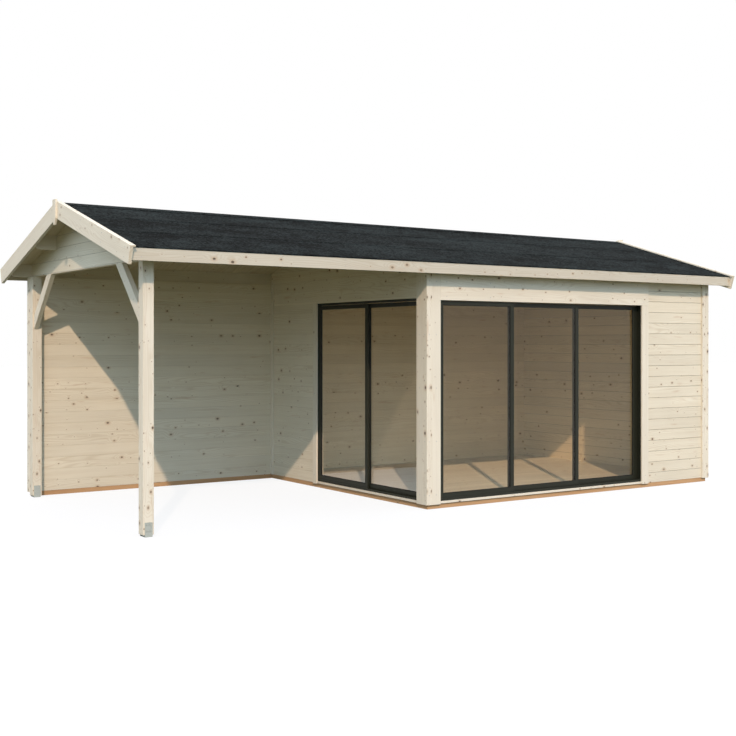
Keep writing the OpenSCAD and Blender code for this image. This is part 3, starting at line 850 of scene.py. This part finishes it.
def gasketRing(pane, body, thinAxis):
    low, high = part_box(pane)
    wide = 1 - thinAxis
    width, stands = gasketLook["width"], gasketLook["stands"]
    shape = bmesh.new()
    for face in (low[thinAxis] - stands, high[thinAxis]):
        corners = []  # four at the outside and four at the inside, each with its twin in front
        for inset in (0.0, width):
            for a, z in ((low[wide] + inset, low.z + inset), (high[wide] - inset, low.z + inset),
                         (high[wide] - inset, high.z - inset), (low[wide] + inset, high.z - inset)):
                for depth in (face, face + stands):
                    point = Vector((a, a, z))
                    point[thinAxis] = depth
                    corners.append(shape.verts.new(point))
        for k in range(4):
            n = (k + 1) % 4
            outer, outerTwin, inner, innerTwin = ((corners[first + 2 * k], corners[first + 2 * n])
                                                  for first in (0, 1, 8, 9))
            for a, b in ((outer, inner), (outerTwin, innerTwin), (outer, outerTwin), (inner, innerTwin)):
                shape.faces.new((a[0], a[1], b[1], b[0]))
    bmesh.ops.recalc_face_normals(shape, faces=shape.faces)
    mesh = bpy.data.meshes.new("gasket")
    shape.to_mesh(mesh)
    shape.free()
    ob = newObject(pane.replace("glass", "gasket"), mesh)
    bevel = ob.modifiers.new("ease", "BEVEL")
    bevel.width = gasketLook["ease"]
    bevel.segments = 1
    bakeModifiers(ob, [gasket])
    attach(ob, body)


for leaf, (pane, body) in leaves.items():
    gasketRing(pane, body, 0 if leaf.startswith("side") else 1)
print("gaskets fitted")


# screw heads: a round head with a six-sided socket, set on every point of a cloud

screwLook = {
    "head": 0.0085, "thick": 0.0016, "stands": 0.0007,
    "socket": 0.48, "sunk": 0.45,  # the socket's share of the head, and of its thickness
    "bolt": 0.0130, "boltThick": 0.0050,
}


def makeScrewTree():
    inputs = (("Geometry", "Geometry"), ("Head", "Float"), ("Thickness", "Float"), ("Sides", "Int"),
              ("Turn", "Rotation"), ("Seed", "Int"), ("Steel", "Material"))
    tree, given = startTree("screwHeads", "GeometryNodeTree", inputs, (("Geometry", "Geometry"),))
    half = times(tree, given["Head"], 0.5)
    thick = given["Thickness"]
    size = {"Vertices": given["Sides"], "Radius": half, "Depth": thick}
    head = addNode(tree, "GeometryNodeMeshCylinder", size).outputs["Mesh"]
    size = {"Vertices": 6, "Radius": times(tree, half, screwLook["socket"]), "Depth": thick}
    hole = addNode(tree, "GeometryNodeMeshCylinder", size).outputs["Mesh"]
    drop = joinXyz(tree, 0.0, 0.0, times(tree, thick, screwLook["sunk"]))
    screw = cutOut(tree, head, moved(tree, hole, Translation=drop))
    where = {"Points": given["Geometry"], "Instance": screw, "Rotation": given["Turn"]}
    placed = addNode(tree, "GeometryNodeInstanceOnPoints", where).outputs[0]
    chance = addNode(tree, "FunctionNodeRandomValue", {"Seed": given["Seed"]}, data_type="FLOAT")
    plug(tree, chance.inputs[3], 2 * math.pi)
    spin = {"Instances": placed, "Rotation": joinXyz(tree, 0.0, 0.0, chance.outputs[1]), "Local Space": True}
    spun = addNode(tree, "GeometryNodeRotateInstances", spin).outputs[0]
    return endTree(tree, spun, given["Steel"])


screwTree = makeScrewTree()


def solidBoxes(node):
    mesh = nodes[node].data
    shape = bmesh.new()
    shape.from_mesh(mesh)
    bmesh.ops.remove_doubles(shape, verts=shape.verts, dist=meshCare["weld"])
    boxes, seen = [], set()
    for first in shape.verts:
        if first in seen:
            continue
        heap, members = [first], []
        seen.add(first)
        while heap:
            vert = heap.pop()
            members.append(vert.co.copy())
            for edge in vert.link_edges:
                other = edge.other_vert(vert)
                if other not in seen:
                    seen.add(other)
                    heap.append(other)
        boxes.append(tuple(Vector(pick(c[i] for c in members) for i in range(3)) for pick in (min, max)))
    shape.free()
    return sorted(boxes, key=lambda box: (round(box[0].x, 3), round(box[0].y, 3)))


def evenly(low, high, margin, step):
    count = max(2, round((high - low - 2 * margin) / step) + 1)
    return [low + margin + k * (high - low - 2 * margin) / (count - 1) for k in range(count)]


facings = {"front": ((math.pi / 2, 0, 0), (0, -1, 0)), "rear": ((-math.pi / 2, 0, 0), (0, 1, 0)),
           "left": ((0, -math.pi / 2, 0), (-1, 0, 0)), "right": ((0, math.pi / 2, 0), (1, 0, 0))}


def screwHeads(name, points, facing, head, thick, stands, sides=12, steel=screwSteel):
    turn, out = facings[facing]
    mesh = bpy.data.meshes.new(name)
    sunk = Vector(out) * (stands - thick / 2)
    mesh.from_pydata([Vector(p) + sunk for p in points], [], [])
    ob = newObject(name, mesh)
    heads = ob.modifiers.new("heads", "NODES")
    heads.node_group = screwTree
    setInputs(heads, {"Head": head, "Thickness": thick, "Sides": sides, "Turn": turn, "Seed": 7,
                      "Steel": steel})
    bakeModifiers(ob, [steel])
    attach(ob, "house")


screwRows = {  # distance of the outer screws from the piece's ends, largest spacing
    "fascia": (0.08, 0.62),
    "barge": (0.12, 0.55),
    "upright": (0.09, 0.45),
    "header": (0.07, 0.55),
    "level": (0.07, 0.45),
}
screwInsets = {
    "fascia": 0.028, "barge": 0.038, "headerFoot": 0.035, "headerTop": 0.090,
    "rightGable": 3.0,  # corner boards beyond this X have their side screws on the right
}
braceScrews = {"foot": ((0.030, 0.085), (0.060, 0.115)), "top": ((0.085, 0.030), (0.115, 0.060))}


def trimScrews():
    clouds = {facing: [] for facing in facings}
    inset = screwInsets["fascia"]
    for low, high in solidBoxes("fascias"):
        facing, y = ("front", low.y) if low.y < 0 else ("rear", high.y)
        for x in evenly(low.x, high.x, *screwRows["fascia"]):
            clouds[facing] += [(x, y, low.z + inset), (x, y, high.z - inset)]
    for node in ("bargeboards_front", "bargeboards_rear"):
        rise, lift = (riseFront, liftFront) if node.endswith("front") else (riseRear, liftRear)
        for low, high in solidBoxes(node):
            facing, x = ("left", low.x) if low.x < 0 else ("right", high.x)
            middle = (low + high) / 2
            reach = (high.y - low.y) / math.cos(pitchAngle)
            for s in evenly(-reach / 2, reach / 2, *screwRows["barge"]):
                for t in (-screwInsets["barge"], screwInsets["barge"]):
                    p = middle + rise * s + lift * t
                    clouds[facing].append((x, p.y, p.z))
    for low, high in solidBoxes("corner_boards"):
        for z in evenly(low.z, high.z, *screwRows["upright"]):
            side, x = ("left", low.x) if low.x < screwInsets["rightGable"] else ("right", high.x)
            face, y = ("front", low.y) if low.y < 0 else ("rear", high.y)
            clouds[side].append((x, (low.y + high.y) / 2, z))
            clouds[face].append(((low.x + high.x) / 2, y, z))
    for low, high in solidBoxes("door_trims"):
        for z in evenly(low.z, high.z, *screwRows["upright"]):
            clouds["front"].append(((low.x + high.x) / 2, low.y, z))
    low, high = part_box("door_header_trim")
    for x in evenly(low.x, high.x, *screwRows["header"]):
        for z in (low.z + screwInsets["headerFoot"], high.z - screwInsets["headerTop"]):
            clouds["front"].append((x, low.y, z))
    for low, high in solidBoxes("side_trims"):
        if high.z - low.z > high.y - low.y:
            for z in evenly(low.z, high.z, *screwRows["upright"]):
                clouds["left"].append((low.x, (low.y + high.y) / 2, z))
        else:
            for y in evenly(low.y, high.y, *screwRows["level"]):
                clouds["left"].append((low.x, y, (low.z + high.z) / 2))
    for low, high in solidBoxes("braces"):
        side = 1 if low.y > 0 else -1
        foot, top = (high.y, low.y) if side > 0 else (low.y, high.y)
        clouds["left"] += [(low.x, foot - side * a, low.z + b) for a, b in braceScrews["foot"]]
        clouds["left"] += [(low.x, top + side * a, high.z - b) for a, b in braceScrews["top"]]
    head, thick, stands = screwLook["head"], screwLook["thick"], screwLook["stands"]
    for facing, points in clouds.items():
        screwHeads("trim_screws_" + facing, points, facing, head, thick, stands)


shoeBolts = {"aside": 0.016, "heights": (0.048, 0.096)}


def shoeScrews():
    clouds = {"front": [], "rear": []}
    for low, high in solidBoxes("post_shoes"):
        middle = (low.x + high.x) / 2
        for facing, y in (("front", low.y), ("rear", high.y)):
            for z in shoeBolts["heights"]:
                for aside in (-shoeBolts["aside"], shoeBolts["aside"]):
                    clouds[facing].append((middle + aside, y, z))
    head, thick = screwLook["bolt"], screwLook["boltThick"]
    for facing, points in clouds.items():
        screwHeads("shoe_screws_" + facing, points, facing, head, thick, thick, sides=6, steel=zinc)


trimScrews()
shoeScrews()
print("screws driven")


# floor, light and camera

stageLook = {
    "shadowShare": 0.14,  # how much of a shadow the seen floor shows
    "bounce": (0.083, 0.089, 0.047, 1),  # tone of the light that comes up from the floor
    "paint": (0.95, 0.95, 0.95, 1),
    "half": 60.0, "drop": 0.0005,
}
white = (1, 1, 1, 1)


# what the camera sees, directly or in a pane
def seenShare(tree):
    path = addNode(tree, "ShaderNodeLightPath").outputs
    seen = calc(tree, "MAXIMUM", path["Is Camera Ray"], path["Is Glossy Ray"])
    return calc(tree, "MAXIMUM", seen, path["Is Transmission Ray"])


def layFloor():
    half, z = stageLook["half"], -stageLook["drop"]
    mesh = bpy.data.meshes.new("studio_floor")
    corners = [(-half, -half, z), (half, -half, z), (half, half, z), (-half, half, z)]
    mesh.from_pydata(corners, [], [(0, 1, 2, 3)])
    ob = newObject("studio_floor", mesh)
    mat, tree, shader = startMaterial("pale floor")
    tree.nodes.remove(shader)
    glow = addNode(tree, "ShaderNodeEmission", {"Color": white, "Strength": 1.0}).outputs[0]
    paint = addNode(tree, "ShaderNodeBsdfDiffuse", {"Color": stageLook["paint"]}).outputs[0]
    bounce = addNode(tree, "ShaderNodeBsdfDiffuse", {"Color": stageLook["bounce"]}).outputs[0]
    pale = mixShaders(tree, stageLook["shadowShare"], glow, paint)
    both = mixShaders(tree, seenShare(tree), bounce, pale)
    tree.links.new(both, tree.nodes["Material Output"].inputs["Surface"])
    mesh.materials.append(mat)


skyLook = {
    "low": (0.84, 0.955, 1.00, 1), "middle": (1.23, 1.57, 2.03, 1), "high": (0.81, 0.89, 1.02, 1),
    "behind": (1.25, 1.38, 1.50, 1),  # upper sky towards +Y
    "lowEnd": 0.35, "highStart": 0.35, "highFull": 0.9,  # as a share of the way to straight up
    "behindStart": 0.3, "behindFull": 0.8,
    "lean": 0.18,  # brighter by this share towards +X, darker towards -X
}
sunLook = {"strength": 2.24, "colour": (1.0, 0.762, 0.603), "angle": 0.9, "azimuth": 30.6, "height": 33.0}


def lightSky():
    world = bpy.data.worlds.new("studio")
    bpy.context.scene.world = world
    world.use_nodes = True
    tree = world.node_tree
    tree.nodes.remove(tree.nodes["Background"])
    way = addNode(tree, "ShaderNodeTexCoord").outputs["Generated"]
    aside, back, climb = addNode(tree, "ShaderNodeSeparateXYZ", {0: way}).outputs
    highShare = ramp(tree, climb, skyLook["highStart"], skyLook["highFull"])
    upper = blendColour(tree, highShare, skyLook["middle"], skyLook["high"])
    behindShare = ramp(tree, back, skyLook["behindStart"], skyLook["behindFull"])
    upper = blendColour(tree, behindShare, upper, skyLook["behind"])
    upper = shadeColour(tree, upper, timesPlus(tree, aside, skyLook["lean"], 1.0))
    tone = blendColour(tree, ramp(tree, climb, 0.0, skyLook["lowEnd"]), skyLook["low"], upper)
    sky = addNode(tree, "ShaderNodeBackground", {"Color": tone, "Strength": 1.0}).outputs[0]
    plain = addNode(tree, "ShaderNodeBackground", {"Color": white, "Strength": 1.0}).outputs[0]
    both = mixShaders(tree, seenShare(tree), sky, plain)
    tree.links.new(both, tree.nodes["World Output"].inputs["Surface"])


def lightSun():
    lamp = bpy.data.lights.new("sun", "SUN")
    lamp.energy = sunLook["strength"]
    lamp.color = sunLook["colour"]
    lamp.angle = math.radians(sunLook["angle"])
    sun = bpy.data.objects.new("sun", lamp)
    bpy.context.scene.collection.objects.link(sun)
    azimuth, height = math.radians(sunLook["azimuth"]), math.radians(sunLook["height"])
    level = math.cos(height)
    way = Vector((math.sin(azimuth) * level, math.cos(azimuth) * level, -math.sin(height)))
    sun.rotation_euler = way.to_track_quat("-Z", "Y").to_euler()


cameraLook = {
    "place": (-6.741, -9.736, 1.518), "turn": -33.88,
    "lens": 55.25, "sensor": 36.0, "shift": -0.0337, "farEnd": 300.0,
}


def placeCamera():
    data = bpy.data.cameras.new("camera")
    data.lens = cameraLook["lens"]
    data.sensor_width = cameraLook["sensor"]
    data.shift_y = cameraLook["shift"]
    data.clip_end = cameraLook["farEnd"]
    camera = bpy.data.objects.new("camera", data)
    camera.location = cameraLook["place"]
    camera.rotation_euler = (math.pi / 2, 0, math.radians(cameraLook["turn"]))
    bpy.context.scene.collection.objects.link(camera)
    bpy.context.scene.camera = camera


layFloor()
lightSky()
lightSun()
placeCamera()
bpy.context.scene.view_settings.view_transform = "Standard"
print("stage set")
